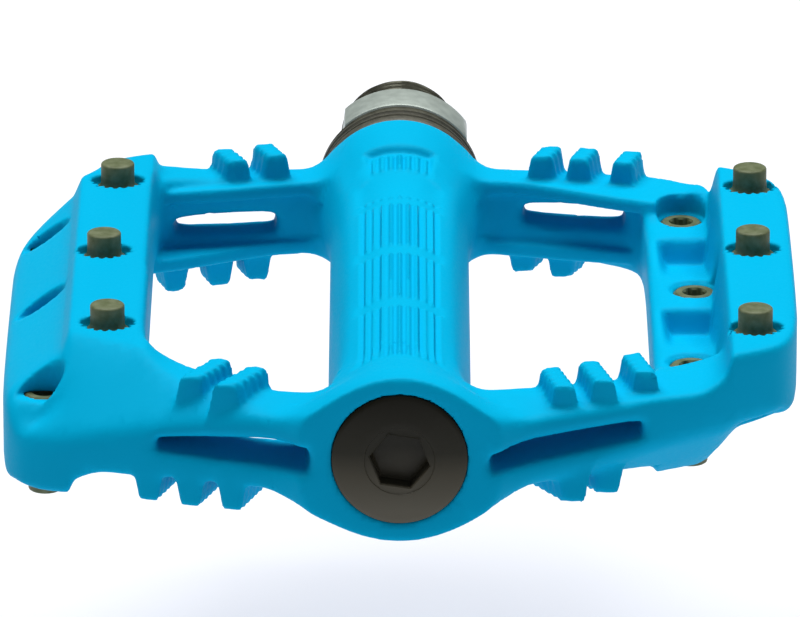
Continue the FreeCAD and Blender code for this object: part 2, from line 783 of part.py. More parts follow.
def locknut():
    """Hexagonal nut with a round collar that is hollow for the nylon ring."""
    seat = "(bearing_start + bearing_thick + washer_thick)"
    bore = "stud_radius + seat_gap"
    hollow = "insert_radius + seat_gap"
    start = seat + " + insert_start"
    nut = turned_body("spindle_locknut", [[
        (bore, seat),
        ("nut_collar_radius", seat),
        ("nut_collar_radius", seat + " + nut_long"),
        (hollow, seat + " + nut_long"),
        (hollow, start),
        (bore, start),
    ]])
    plain = nut.Shape.Volume
    hole = circle_outline(bore)
    sketch = body_sketch(nut, "locknut_hex", "XZ_Plane", [hexagon("nut_flats")])
    sketch.addGeometry(hole, False)
    number = sketch.addConstraint(
        Sketcher.Constraint("Radius", sketch.GeometryCount - 1, hole.Radius)
    )
    bind(sketch, "Constraints[%d]" % number, bore)
    sketch.addConstraint(Sketcher.Constraint("Coincident", sketch.GeometryCount - 1, 3, -1, 1))
    bind(sketch, "AttachmentOffset.Base.z", seat)
    pad = nut.newObject("PartDesign::Pad", "locknut_flats")
    pad.Profile = sketch
    bind(pad, "Length", "nut_hex_long")
    doc.recompute()
    assert nut.Shape.Volume > plain + 1, "the hexagon added nothing"
    return nut


def circle_outline(radius):
    value = float(sheet.evalExpression(with_sheet(radius)))
    return Part.Circle(FreeCAD.Vector(0, 0, 0), FreeCAD.Vector(0, 0, 1), value)


def end_cap():
    face = "(platform_centre + half_long + cap_proud)"
    seat = "(platform_centre + half_long - cap_sunk)"
    floor = "(%s - cap_wall)" % face
    cap = turned_body("end_cap", [[
        ("0", floor),
        ("cap_cup_radius", floor),
        ("cap_cup_radius", "bearing_start + bearing_thick + seat_gap"),
        ("cap_stub_radius", "bearing_start + bearing_thick + seat_gap"),
        ("cap_stub_radius", "ring_station - ring_groove_wide / 2"),
        ("ring_groove_radius", "ring_station - ring_groove_wide / 2"),
        ("ring_groove_radius", "ring_station + ring_groove_wide / 2"),
        ("cap_stub_radius", "ring_station + ring_groove_wide / 2"),
        ("cap_stub_radius", seat),
        ("cap_head_radius", seat),
        ("cap_head_radius", face + " - cap_bevel"),
        ("cap_head_radius - cap_bevel", face),
        ("cap_dish_radius + 0.5", face),
        ("cap_dish_radius", face + " - cap_dish_deep"),
        ("0", face + " - cap_dish_deep"),
    ]])
    plain = cap.Shape.Volume
    sketch = body_sketch(cap, "cap_hex_outline", "XZ_Plane", [hexagon("cap_hex", "cap_hex_turn")])
    bind(sketch, "AttachmentOffset.Base.z", face)
    socket = cap.newObject("PartDesign::Pocket", "cap_hex_socket")
    socket.Profile = sketch
    bind(socket, "Length", "cap_hex_deep")
    doc.recompute()
    assert cap.Shape.Volume < plain - 1, "the hex socket cut nothing"
    return cap


def cap_ring():
    ring = doc.addObject("Part::Torus", "end_cap_oring")
    ring.Label = "end_cap_oring"
    bind(ring, "Radius1", "ring_centre")
    bind(ring, "Radius2", "ring_section")
    ring.Placement = FreeCAD.Placement(
        FreeCAD.Vector(0, 0, 0), FreeCAD.Rotation(FreeCAD.Vector(1, 0, 0), 90)
    )
    bind(ring, "Placement.Base.y", "-ring_station")
    return ring


# ---------------------------------------------------------------- assembly

pieces = [platform_body()]
pieces += [traction_pin(*place) for place in pin_places()]
pieces.append(spindle())
pieces.append(turned_body("dust_washer", [ring_outline(
    "neck_radius + seat_gap", "dust_washer_radius",
    "collar_long", "collar_long + dust_washer_thick",
)]))
pieces.append(turned_body("hub_seal", [seal_outline()]))
pieces.append(turned_body("hub_bushing", [ring_outline(
    "journal_radius + running_gap", "bushing_radius", "bushing_start", "bushing_end",
)]))
pieces += bearing()
pieces.append(turned_body("spindle_washer", [ring_outline(
    "stud_radius + seat_gap", "washer_radius",
    "bearing_start + bearing_thick", "bearing_start + bearing_thick + washer_thick",
)]))
pieces.append(locknut())
pieces.append(turned_body("locknut_insert", [ring_outline(
    "stud_radius + seat_gap", "insert_radius",
    "bearing_start + bearing_thick + washer_thick + insert_start",
    "bearing_start + bearing_thick + washer_thick + insert_start + insert_long",
)]))
pieces.append(end_cap())
pieces.append(cap_ring())
doc.recompute()

for thing in doc.Objects:
    assert not {"Invalid", "Error"} & set(thing.State), thing.Name + " failed"
for piece in pieces:
    assert not piece.Shape.isNull() and piece.Shape.isValid(), piece.Label + " is not sound"

os.makedirs("parts", exist_ok=True)
for piece in pieces:
    piece.Shape.exportStep("parts/%s.step" % piece.Label)
print("%d pieces written" % len(pieces))
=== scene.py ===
import math

import bpy
import numpy as np
import openvdb
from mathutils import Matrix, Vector


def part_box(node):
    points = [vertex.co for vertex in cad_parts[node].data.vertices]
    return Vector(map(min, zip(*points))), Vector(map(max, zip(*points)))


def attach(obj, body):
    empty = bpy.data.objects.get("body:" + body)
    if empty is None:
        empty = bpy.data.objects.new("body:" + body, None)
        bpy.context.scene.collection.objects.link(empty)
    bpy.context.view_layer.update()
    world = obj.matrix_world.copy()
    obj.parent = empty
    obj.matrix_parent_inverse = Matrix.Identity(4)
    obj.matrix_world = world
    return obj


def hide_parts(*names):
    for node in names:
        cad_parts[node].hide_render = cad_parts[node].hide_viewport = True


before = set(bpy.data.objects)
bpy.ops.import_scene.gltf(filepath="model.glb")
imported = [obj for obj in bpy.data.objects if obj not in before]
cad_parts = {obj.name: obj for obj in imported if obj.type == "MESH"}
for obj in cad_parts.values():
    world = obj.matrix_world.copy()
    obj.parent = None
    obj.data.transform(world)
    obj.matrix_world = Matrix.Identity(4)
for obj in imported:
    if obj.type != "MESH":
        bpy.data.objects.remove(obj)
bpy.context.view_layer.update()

# Flat pedal: a moulded platform on a steel spindle. Shapes are worked out in millimetres.
# Across is X, along is the distance from the platform's own centre on Y, up is Z.
# The platform looks nearly the same after half a turn about the spindle. So both halves come
# from one description of an upper half, and the lower one is turned over. Its near end
# differs a little: side is 1 for the upper half and -1 for the lower one.

MM = 0.001
record_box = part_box("platform_body")
CENTRE = 500 * (record_box[0].y + record_box[1].y)
HALF_LONG = 500 * (record_box[1].y - record_box[0].y)
HALF_WIDE = 500 * (record_box[1].x - record_box[0].x)
HUB_HIGH = 1000 * record_box[1].z

CELL = 0.26
COARSER = 0.085  # how far the mesh may thin out where the surface is nearly flat, 0 to 1

# heights above the spindle's axis
DECK_OUTER = 9.0
DECK_INNER = 7.7
DECK_STEP = 7.3
BAR_TOP = 4.75
SHELF = 2.6
SLANT_TOP = 5.6

# stations across
RAIL_X = 29.4
SHELF_X = 36.9
STEP_X = 37.7
SLANT_X = 38.9

# how steeply the near bars sink towards the near end, by side; they rise if it is negative
NEAR_FALL = {1: 0.22, -1: -0.05}

# traction pins: across, along, on the left for the inner pins and the right for the outer
INNER_PINS = [(33.8, 29.95), (34.8, 5.05), (33.8, -19.85)]
OUTER_PINS = [(41.8, 24.2), (41.5, 1.95), (41.0, -25.0)]


# ---------------------------------------------------------------- distance fields


def axis(half):
    """Stations of the grid from minus half to half, one of them at zero."""
    count = math.ceil(half / CELL)
    return np.arange(-count, count + 1, dtype=np.float32) * CELL


ACROSS = axis(HALF_WIDE + 1.2)
ALONG = axis(HALF_LONG + 1.2)
UP = axis(HUB_HIGH + 1.2)
UP = UP[len(UP) // 2:]
X2, Y2 = ACROSS[:, None], ALONG[None, :]
X, Y, Z = ACROSS[:, None, None], ALONG[None, :, None], UP[None, None, :]


def ramp(value, start, end):
    """Smooth step from 0 at start to 1 at end."""
    share = np.clip((value - start) / (end - start), 0, 1)
    return share * share * (3 - 2 * share)


def lower(a, b, blend):
    """Smooth minimum: a union of solids, or the lower of two heights."""
    overlap = np.maximum(blend - np.abs(a - b), 0) / blend
    return np.minimum(a, b) - overlap * overlap * blend / 4


def higher(a, b, blend):
    """Smooth maximum: what two solids share, or the higher of two heights."""
    return -lower(-a, -b, blend)


def zigzag(value, pitch):
    """Triangle wave between -1 and 1."""
    share = value / pitch
    return 4 * np.abs(share - np.floor(share + 0.5)) - 1


def rounded(points, rounds=3):
    """A closed outline with its corners cut again and again, which makes it a smooth curve."""
    line = np.array(points, float)
    for _ in range(rounds):
        after = np.roll(line, -1, axis=0)
        line = np.stack([0.75 * line + 0.25 * after, 0.25 * line + 0.75 * after], 1)
        line = line.reshape(-1, 2)
    return line


def outline(points, u, v):
    """Signed distance to a closed outline, negative inside."""
    shape = np.broadcast(u, v).shape
    nearest = np.full(shape, 1e9, np.float32)
    inside = np.zeros(shape, bool)
    for start, end in zip(points, np.roll(points, -1, axis=0)):
        edge = end - start
        du, dv = u - start[0], v - start[1]
        share = np.clip((du * edge[0] + dv * edge[1]) / max(edge @ edge, 1e-9), 0, 1)
        gap = (du - share * edge[0]) ** 2 + (dv - share * edge[1]) ** 2
        nearest = np.minimum(nearest, gap)
        if start[1] != end[1]:
            crosses = (start[1] > v) != (end[1] > v)
            inside ^= crosses & (du < edge[0] * dv / edge[1])
    return (np.where(inside, -1, 1) * np.sqrt(nearest)).astype(np.float32)


def soften(field, radius):
    """Blur a height map, which rounds its edges and its inner corners alike."""
    reach = max(1, math.ceil(2.2 * radius / CELL))
    offsets = np.arange(-reach, reach + 1)
    weights = np.exp(-0.5 * (offsets * CELL / radius) ** 2)
    weights /= weights.sum()
    for direction in (0, 1):
        padding = [(0, 0), (0, 0)]
        padding[direction] = (reach, reach)
        padded = np.pad(field, padding, mode="edge")
        size = field.shape[direction]
        field = sum(
            weight * np.take(padded, range(number, number + size), axis=direction)
            for number, weight in enumerate(weights)
        )
    return field.astype(np.float32)


def window(x_range, y_range, z_range=(-99, 99)):
    """The part of the grid within these ranges: index for a field, and its coordinates."""
    picks = []
    for stations, (low, high) in zip((ACROSS, ALONG, UP), (x_range, y_range, z_range)):
        inside = np.nonzero((stations >= low) & (stations <= high))[0]
        picks.append(slice(inside[0], inside[-1] + 1) if len(inside) else slice(0, 0))
    i, j, k = picks
    return (i, j, k), (X[i], Y[:, j], Z[:, :, k])


# ---------------------------------------------------------------- plan and heights


def mirrored(points):
    """The same outline on the other side, with its points in the other order."""
    return [(-across, along) for across, along in reversed(points)]


def plan_field():
    """Outline of the whole platform, seen from above."""
    wide = HALF_WIDE - 0.25
    right = [
        (0, 43.4), (9, 43.0), (14, 42.4), (19, 41.8), (24, 40.8), (30, 40.0), (35, 37.4),
        (38.0, 31.4), (40.3, 30.4), (44.8, 26.6), (wide, 21), (wide + 0.1, 10),
        (wide + 0.1, -10), (wide - 0.1, -25), (wide - 1.5, -31.0), (41.2, -33.6), (36, -35.9),
        (30, -37.9), (24, -39.4), (17, -41.3), (12, -42.9), (6, -44.6), (0, -44.8),
    ]
    return outline(rounded(right + mirrored(right[1:-1]), 2), X2, Y2)


def window_field():
    """Outline of the two windows: the upper left one and the upper right one."""
    left = [
        (-5, 38.4), (-12, 37.9), (-18, 36.9), (-24, 35.7), (-28.6, 34.2), (-RAIL_X, 29),
        (-RAIL_X, 10), (-RAIL_X, -10), (-RAIL_X, -23), (-28.6, -26), (-25.4, -27.6),
        (-20, -30.8), (-15, -34.1), (-12, -34.9), (-5, -34.9),
    ]
    right = [
        (5, 38.4), (12, 38), (18, 37.4), (24, 36.4), (28.6, 35.4), (RAIL_X, 30), (RAIL_X, 10),
        (RAIL_X, -10), (RAIL_X, -25), (28.6, -29), (24.7, -30.8), (19.9, -32.3),
        (15.4, -33.3), (10, -34.2), (5, -34.4),
    ]
    return outline(rounded(left, 2), X2, Y2), outline(rounded(right, 2), X2, Y2)


def slope(across, along, height, pitch, roll):
    """Height of a plane through a point on the left rail.

    It falls to the near end by pitch and outboard by roll, in degrees."""
    fall = math.tan(math.radians(pitch)) / math.cos(math.radians(roll))
    tilt = math.tan(math.radians(roll))
    return height + tilt * (X2 + across) + fall * (Y2 - along)


def near_drop(side):
    """What the near bars' height gains towards the near end, negative where they sink."""
    return NEAR_FALL[side] * np.minimum(Y2 + 36.5, 0)


def left_heights(side):
    """Top of the left rail: inner deck, a small step, the slanted face and the slopes."""
    steep = DECK_INNER + 3.4 * (X2 + SLANT_X - 0.6)
    slant = SLANT_TOP + 0.73 * (X2 + SLANT_X)
    inner_wall = np.maximum(DECK_INNER - 9 * (X2 + RAIL_X), 6.1 - 0.2 * (X2 + RAIL_X))
    rail = np.minimum(np.minimum(np.maximum(slant, steep), DECK_INNER), inner_wall)
    near = slope(34, -27.3, DECK_INNER, 36.4, 22.8)
    bar = BAR_TOP + near_drop(side)
    if side > 0:
        # the near bar sweeps up into the deck
        corner = slope(SLANT_X, -26, SLANT_TOP, 34.4, 33.1)
        sweep = 0.09 * np.clip(-23.5 - X2, 0, None) ** 2 + 6 * np.minimum(X2 + 31, 0)
        bar = bar + sweep * (Y2 < 0)
    else:
        # the near corner is cut back further, and the near bar thins towards the rail
        inboard, outboard = np.clip(X2 + SLANT_X, 0, None), np.clip(X2 + SLANT_X, None, 0)
        corner = SLANT_TOP + 1.3 * inboard + 0.3 * outboard + 0.42 * (Y2 + 20)
        near = near + 0.15
        bar = bar - 0.12 * np.clip(-25 - X2, 0, 5) * (Y2 < 0)
    bar = bar + 3 * np.minimum(X2 + 31, 0)
    top = np.minimum(higher(rail, bar, 2.2), DECK_INNER)
    top = lower(lower(top, near, 1.4), corner, 1.6)
    dent = ((X2 + 41.2) / 2.9) ** 2 + ((Y2 + 30.2) / 1.5) ** 2
    crease = np.exp(-((near - DECK_INNER + 0.9) / 0.6) ** 2)
    crease = crease * ramp(X2, -38.5, -36) * ramp(X2, -29.6, -30.8)
    return top - 1.1 * np.exp(-dent * 1.4) - 0.25 * crease


def scoop(far, near, depth):
    """Hollow between two pin bosses: a steep far wall and a floor that rises to the near end."""
    sideways = ramp(X2, 30.6, 31.9)
    lengthways = ramp(Y2, far + 0.25, far - 0.9) * np.clip((Y2 - near) / (far - near), 0, 1)
    return depth * sideways * lengthways


def right_heights(side):
    """Top of the right rail: raised outer deck, wall, and the shelf with its pin bosses."""
    wall = SHELF + (DECK_STEP - SHELF) * (X2 - SHELF_X) / (STEP_X - 0.1 - SHELF_X)
    if side > 0:
        deck = DECK_OUTER + 0 * Y2
        arch = BAR_TOP + 1.9 * np.clip((X2 - 33.5) / 4, 0, None) ** 2
    else:
        # the near end of the lower deck leans back, and its arch is flatter
        outboard = 0.15 * np.clip(X2 - 41.5, 0, None) * ramp(Y2, -26, -30)
        deck = DECK_OUTER - 0.12 * np.clip(-28 - Y2, 0, None) - outboard
        arch = BAR_TOP + 0.25 + 1.3 * np.clip((X2 - 33) / 4, 0, None) ** 2
    wall = np.where(X2 > STEP_X, deck, np.minimum(wall, DECK_STEP))
    wall = np.where(X2 < SHELF_X, -DECK_OUTER, wall)
    back = SHELF + 0.66 * (Y2 - 28.4)
    front = SHELF + 0.5 * (-22.6 - Y2) + 0.32 * np.clip(X2 - 31, 0, None)
    drop = near_drop(side) * ramp(X2, 30, 25)
    bars = np.maximum(lower(back, arch, 1.2), lower(front, arch + drop, 1.6))
    shelf = SHELF - scoop(22.6, 8.5, 3.4) - scoop(-1.8, -15.6, 3.4)
    top = np.minimum(np.maximum(higher(bars, shelf, 1.0), wall), deck)
    return np.where(X2 < RAIL_X - 1.0, BAR_TOP + drop, top)


def top_field(side):
    """Height of the platform's upper surface over the whole plan."""
    heights = np.where(X2 < 0, left_heights(side), right_heights(side))
    return soften(heights, 0.27)


# ---------------------------------------------------------------- features


# lugs: width at the foot and at the crest, height between the two, length, pitch of the teeth
LUG_WIDE, LUG_CREST, LUG_HIGH = 3.1, 2.3, 2.3
LUG_LONG, LUG_TOOTH = 6.6, 1.35

# across, along, crest height, skew in plan
UPPER_LUGS = [
    (-22.1, -33.9, 7.0, 0.58), (-18.0, -36.4, 6.95, 0.62),
    (17.9, -35.6, 6.7, -0.26), (22.4, -34.7, 7.1, -0.26), (27.2, -32.3, 7.3, -0.26),
    (-20.8, 39.8, 7.5, -0.44), (-16.0, 40.7, 7.9, -0.40),
    (18.1, 40.6, 7.7, 0.36), (22.3, 39.2, 7.7, 0.34), (27.3, 37.4, 7.6, 0.32),
]

# the same below, as they stand once the platform is turned over
LOWER_LUGS = [
    (-22.1, -33.9, 7.1, 0.58), (-18.0, -36.4, 7.2, 0.62),
    (18.0, -37.2, 7.8, -0.36), (22.8, -35.9, 7.8, -0.36), (27.6, -34.5, 7.6, -0.36),
    (-20.8, 39.8, 7.3, -0.44), (-16.0, 40.7, 6.9, -0.40),
    (18.1, 40.2, 7.9, 0.36), (22.3, 38.6, 8.4, 0.34), (27.3, 36.7, 8.8, 0.32),
]


def add_lugs(solid, footprint, lugs):
    """Skewed ridges with a serrated crest, standing on the cross bars."""
    for across, along, crest, skew in lugs:
        pick, (x, y, z) = window(
            (across - 8, across + 8), (along - 6, along + 6), (1.5, crest + 1.2)
        )
        lean = 1 / math.hypot(1, skew)
        sideways = (x - across - skew * (y - along)) * lean
        lengthways = (y - along) / lean
        half = LUG_CREST / 2 + np.clip(crest - z, 0, None) * (LUG_WIDE - LUG_CREST) / 2 / LUG_HIGH
        edge = ramp(np.abs(sideways), 0.2, LUG_CREST / 2)
        teeth = 0.24 * zigzag(lengthways + 0.35 * sideways, LUG_TOOTH) * edge
        flank = (np.abs(sideways) - half + 0.12 * zigzag(lengthways, LUG_TOOTH)) * 0.97
        lug = higher(flank, z - crest - 0.1 + teeth, 0.6)
        reach = LUG_LONG / 2 + (0.6 if across > 0 > along else 0)
        lug = higher(lug, np.abs(y - along) - reach, 0.45)
        lug = higher(lug, footprint[pick[0], pick[1], None] + 0 * z, 0.45)
        solid[pick] = lower(solid[pick], lug, 0.5)


# slots, right then left: across and height of the ceiling and the floor, at the hub and the rail
NEAR_SLOTS = [((10.2, 0.6, -2.0), (28.1, 2.45, -0.4)), ((-10.2, 1.4, -2.2), (-28.1, 0.45, -1.95))]
FAR_SLOTS = [((14.7, 1.9, -0.95), (27.3, 1.75, -0.95)), ((-14.7, 0.8, -2.3), (-27.3, 0.7, -1.9))]


def slot_outline(hub_end, rail_end):
    """Section of a slot with rounded ends."""
    near, near_top, near_floor = hub_end
    far, far_top, far_floor = rail_end
    inward = math.copysign(0.8, far)
    return rounded([
        (near, near_top - 0.8), (near + inward, near_top), (far - inward, far_top),
        (far, far_top - 0.7), (far, far_floor + 0.7), (far - inward, far_floor),
        (near + inward, near_floor), (near, near_floor + 0.8),
    ], 2)


def cut_slots(solid, side):
    """Slots through both bars."""
    section_x, section_z = side * X[:, 0, :], side * Z[0]
    for y_range, slots in (((-46.5, -28), NEAR_SLOTS), ((28, 46.5), FAR_SLOTS)):
        right, left = (outline(slot_outline(*ends), section_x, section_z) for ends in slots)
        section = np.minimum(left, right)[:, None, :]
        pick, (_, y, _) = window((-99, 99), y_range)
        draft = 0.08 * np.clip(y - 36.5, 0, None) + 0.07 * np.clip(y + 42, 0, 9) * (y < 0)
        solid[pick] = higher(solid[pick], -section - draft + 0 * solid[pick], 1.2)


def add_ledges(solid):
    """Flange along the window side of the far bar, above the slots."""
    right = [(7, 40), (7, 37.8), (14.7, 37.0), (19.3, 34.8), (24, 32.3), (29.8, 29.8), (33, 29)]
    left = [(7, 40), (7, 38), (10.4, 37.2), (14.7, 36.2), (21, 34.5), (26, 33.6), (33, 32.8)]
    points = right + [(33, 40), (-33, 40)] + mirrored(left)
    ledge = outline(rounded(points, 2), X2, Y2)
    pick, (_, _, z) = window((-34, 34), (27, 41), (2.2, 6))
    plate = higher(ledge[pick[0], pick[1], None] + 0 * z, np.abs(z - 3.8) - 0.9, 0.7)
    solid[pick] = lower(solid[pick], plate, 0.5)


def hub_field():
    """Hub round the spindle: a ring for the end cap, a waist and the seal's seat."""
    station = [-HALF_LONG - 2, -41, -35.5, -30, 27, 33, 38, 41, HALF_LONG + 2]
    radius = [9.7, 9.65, 8.8, 8.25, 8.3, 8.9, 9.7, 10.1, 10.1]
    outside = np.interp(ALONG, station, radius).astype(np.float32)
    reach = max(1, round(1.6 / CELL))
    kernel = np.ones(2 * reach + 1) / (2 * reach + 1)
    outside = np.convolve(np.pad(outside, reach, mode="edge"), kernel, mode="valid")
    distance = np.sqrt(X * X + Z * Z) + 0 * Y - outside[None, :, None]
    return higher(distance, np.abs(Y) - HALF_LONG + 0 * distance, 0.9)


# zones of fine ridges along the top of the hub: from, to
RIDGES = [(30.4, 36.0), (21.2, 22.6), (4.5, 20.0), (-13.5, 2.5), (-33.5, -15.5)]
RIDGE_PITCH, RIDGE_HIGH = 1.04, 0.30

# the panel that holds them: the hub's radius there, and half the panel's width along the arc
PAD_RADIUS, PAD_HALF = 8.4, 5.3


def cut_pad(solid):
    """Shallow panel along the hub's top with zones of fine ridges."""
    pick, (x, y, z) = window((-7.5, 7.5), (-36, 38), (4, 12))
    turn = np.arctan2(x, z) * PAD_RADIUS
    half = PAD_HALF - 1.6 * ramp(y, 28, 30)
    sides = ramp(np.abs(turn), half + 0.5, half - 0.3)
    ends = ramp(y, 36.9, 36.3) * ramp(y, -35.2, -34.2)
    depth = 0.3 * sides * ends + 0.5 * sides * ramp(y, 30.5, 36.2) * ramp(y, 36.9, 36.5)
    lines = np.zeros_like(turn + y)
    for start, end in RIDGES:
        lines = np.maximum(lines, ramp(y, start - 0.2, start + 1.2) * ramp(y, end, end - 0.5))
    ridge = RIDGE_HIGH * (zigzag(turn + RIDGE_PITCH / 2, RIDGE_PITCH) + 0.4)
    solid[pick] = solid[pick] + depth - ridge * lines * sides


def cylinder(x, y, radius):
    """Distance to an upright cylinder."""
    return np.sqrt(x * x + y * y) - radius


def pin_places():
    """Name, up or down, across, along and the deck's height of every pin."""
    places = []
    for pins, deck, left_up in ((INNER_PINS, DECK_INNER, 1), (OUTER_PINS, DECK_OUTER, -1)):
        for number, (across, along) in enumerate(pins, start=1):
            for side, sign in (("left", -1), ("right", 1)):
                up = left_up if sign < 0 else -left_up
                face = "top" if up > 0 else "bottom"
                name = "pin_%s_%s_%d" % (face, side, number)
                places.append((name, up, sign * across, along, deck))
    return places


# radii of a pin's hole, of the jagged recess round its tip and of the counterbore behind it
PIN_HOLE, PIN_RECESS, COUNTERBORE = 2.52, 3.15, 2.9

# what opens the slanted face behind an outer pin: offset from the pin, half width, half depth
GROOVES = {
    "pin_%s_%s_%d" % (face, side, number): groove
    for face, side in (("top", "right"), ("bottom", "left"))
    for number, groove in ((1, (0.4, -2.0, 2.8, 1.95)), (2, (0.5, -3.2, 2.8, 1.95)),
                           (3, (0.4, -2.1, 2.8, 2.0)))
}


def drill_pins(solid):
    """Threaded hole, jagged recess round the tip, and counterbore behind each pin."""
    for name, up, across, along, deck in pin_places():
        low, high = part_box(name)
        back = 1000 * (low.z if up > 0 else high.z)
        pick, (x, y, z) = window((across - 4.5, across + 4.5), (along - 8.5, along + 4.5))
        dx, dy, dz = x - across, y - along, z * up
        hole = np.maximum(cylinder(dx, dy, PIN_HOLE) + 0 * z, back * up - dz)
        bearing = np.arctan2(dx, -dy)
        near = ramp(np.abs(bearing), 1.75, 1.15)
        teeth = 0.42 * near * zigzag(bearing * 3.05 + 0.2, 1.0)
        far = np.where(dy > 0, 1.7, 1.0)
        recess = np.maximum(cylinder(dx, dy * far, PIN_RECESS) + teeth, deck - 1.0 - dz)
        gap = cylinder(dx, dy, COUNTERBORE)
        if name in GROOVES:
            shift_x, shift_y, half_wide, half_deep = GROOVES[name]
            wide, deep = (dx - shift_x * up) / half_wide, (dy - shift_y) / half_deep
            gap = (np.sqrt(wide * wide + deep * deep) - 1) * half_deep
        behind = np.maximum(gap + 0 * z, dz - back * up)
        tool = np.minimum(np.minimum(hole, recess), behind)
        solid[pick] = higher(solid[pick], -tool, 0.3)


def drill_hub(solid):
    """Bore of the hub, from the seal to the end cap, in steps of (radius, start, end)."""
    steps = [
        (8.3, HALF_LONG - 3.0, HALF_LONG + 3), (6.02, 27.2, HALF_LONG),
        (5.6, -30.5, 30), (6.52, -34.8, -29.8), (7.02, -44.2, -34.8), (7.8, -50, -44.0),
    ]
    pick, (x, y, z) = window((-9, 9), (-99, 99), (-99, 9))
    radial = np.sqrt(x * x + z * z)
    bore = np.full(solid[pick].shape, 9.0, np.float32)
    for radius, start, end in steps:
        part = np.maximum(radial - radius, np.maximum(start - y, y - end))
        bore = np.minimum(bore, part)
    solid[pick] = higher(solid[pick], -bore, 0.2)


def roof_field(side):
    """Heights of the upper surface, and the share of a height that is distance to it."""
    heights = top_field(side)
    steep = np.minimum(np.hypot(*np.gradient(heights, CELL)), 3)
    return heights, 1 / np.sqrt(1 + steep ** 2)


def platform_field(lugs, side):
    """Half of the platform as one distance field, the lower half as if turned over."""
    plan = plan_field()
    left_window, right_window = window_field()
    heights, scale = roof_field(side)
    roof = (Z - heights[:, :, None]) * scale[:, :, None]
    heights, scale = roof_field(-side)
    floor = (-Z - heights[::-1, :, None]) * scale[::-1, :, None]
    solid = higher(roof, floor, 0.2)
    solid = higher(solid, plan[:, :, None] + 0 * solid, 1.1)
    opening = np.minimum(left_window, right_window)
    flipped = opening[::-1]
    share = ramp(Z, -2.5, 2.5)
    openings = opening[:, :, None] * share + flipped[:, :, None] * (1 - share)
    solid = higher(solid, -openings, 1.3)
    add_ledges(solid)
    solid = lower(solid, hub_field(), 2.8 + 5.5 * ramp(-Y, 36, 43))
    solid = higher(solid, np.abs(Y) - HALF_LONG + 0.1 + 0 * solid, 0.5)
    footprint = np.maximum(plan, -opening)
    add_lugs(solid, footprint, lugs)
    cut_slots(solid, side)
    cut_pad(solid)
    drill_pins(solid)
    drill_hub(solid)
    return solid


def mesh_from_field(name, above, below):
    """Mesh of the zero surface of an upper field and a lower one that is given turned over."""
    flipped = below[::-1, :, 1:][:, :, ::-1]
    whole = np.ascontiguousarray(np.concatenate([flipped, above], axis=2), dtype=np.float32)
    grid = openvdb.FloatGrid(4.0)
    grid.copyFromArray(np.clip(whole, -3, 3))
    points, triangles, quads = grid.convertToPolygons(0.0, COARSER)
    start = np.array([ACROSS[0], ALONG[0] + CENTRE, -UP[-1]])
    points = (points * CELL + start) * MM
    faces = [list(map(int, face[::-1])) for face in quads]
    faces += [list(map(int, face[::-1])) for face in triangles]
    mesh = bpy.data.meshes.new(name)
    mesh.from_pydata(points.tolist(), [], faces)
    mesh.update()
    return mesh


# ---------------------------------------------------------------- turned pieces

RING_SIDES, PIN_SIDES = 120, 48


def ring_radius(kind, radius, turn, angle):
    """Radius of a ring at an angle: a circle, a hexagon, or a circle with two flats."""
    if kind == "hex":
        share = (math.degrees(angle) - turn) % 60 - 30
        return radius / math.cos(math.radians(share))
    if kind == "flats":
        across = abs(math.cos(angle - math.radians(turn)))
        return min(radius[0], radius[1] / max(across, 1e-6))
    return radius


def turned(name, rings, sides=RING_SIDES):
    """Closed piece about its own axis: rings of (radius, station, kind, turn), ends filled.

    A point is (radius * cos, station, radius * sin), so the axis is Y."""
    points, faces = [], []
    for ring in rings:
        radius, station = ring[0], ring[1]
        kind = ring[2] if len(ring) > 2 else "round"
        turn = ring[3] if len(ring) > 3 else 0
        for side in range(sides):
            angle = 2 * math.pi * side / sides
            reach = ring_radius(kind, radius, turn, angle)
            points.append((reach * math.cos(angle), station, reach * math.sin(angle)))
    for number in range(len(rings) - 1):
        for side in range(sides):
            a = number * sides + side
            b = number * sides + (side + 1) % sides
            faces.append((a, b, b + sides, a + sides))
    faces.append(tuple(reversed(range(sides))))
    faces.append(tuple(range((len(rings) - 1) * sides, len(rings) * sides)))
    mesh = bpy.data.meshes.new(name)
    mesh.from_pydata([tuple(MM * value for value in point) for point in points], [], faces)
    mesh.update()
    return mesh


def finished(name, mesh, body, nodes, finish, crease):
    """Object on a body, with smooth shading between creases, that stands for CAD nodes."""
    mesh.shade_smooth()
    mesh.set_sharp_from_angle(angle=math.radians(crease))
    mesh.materials.append(finish)
    piece = bpy.data.objects.new(name, mesh)
    bpy.context.scene.collection.objects.link(piece)
    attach(piece, body)
    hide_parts(*nodes)
    return piece


# ---------------------------------------------------------------- materials


def material(name, rough, metallic=0.0, specular=0.5):
    """New material, its nodes and its Principled shader."""
    made = bpy.data.materials.new(name)
    made.use_nodes = True
    tree = made.node_tree
    shader = tree.nodes["Principled BSDF"]
    shader.inputs["Roughness"].default_value = rough
    shader.inputs["Metallic"].default_value = metallic
    shader.inputs["Specular IOR Level"].default_value = specular
    return made, tree, shader


def noise(tree, scale, detail=4.0, stretch=(1, 1, 1)):
    """Noise over the piece's own coordinates, with about scale cells per metre."""
    place = tree.nodes.new("ShaderNodeTexCoord")
    mapping = tree.nodes.new("ShaderNodeMapping")
    mapping.inputs["Scale"].default_value = stretch
    texture = tree.nodes.new("ShaderNodeTexNoise")
    texture.inputs["Scale"].default_value = scale
    texture.inputs["Detail"].default_value = detail
    tree.links.new(place.outputs["Object"], mapping.inputs["Vector"])
    tree.links.new(mapping.outputs["Vector"], texture.inputs["Vector"])
    return texture.outputs["Fac"]


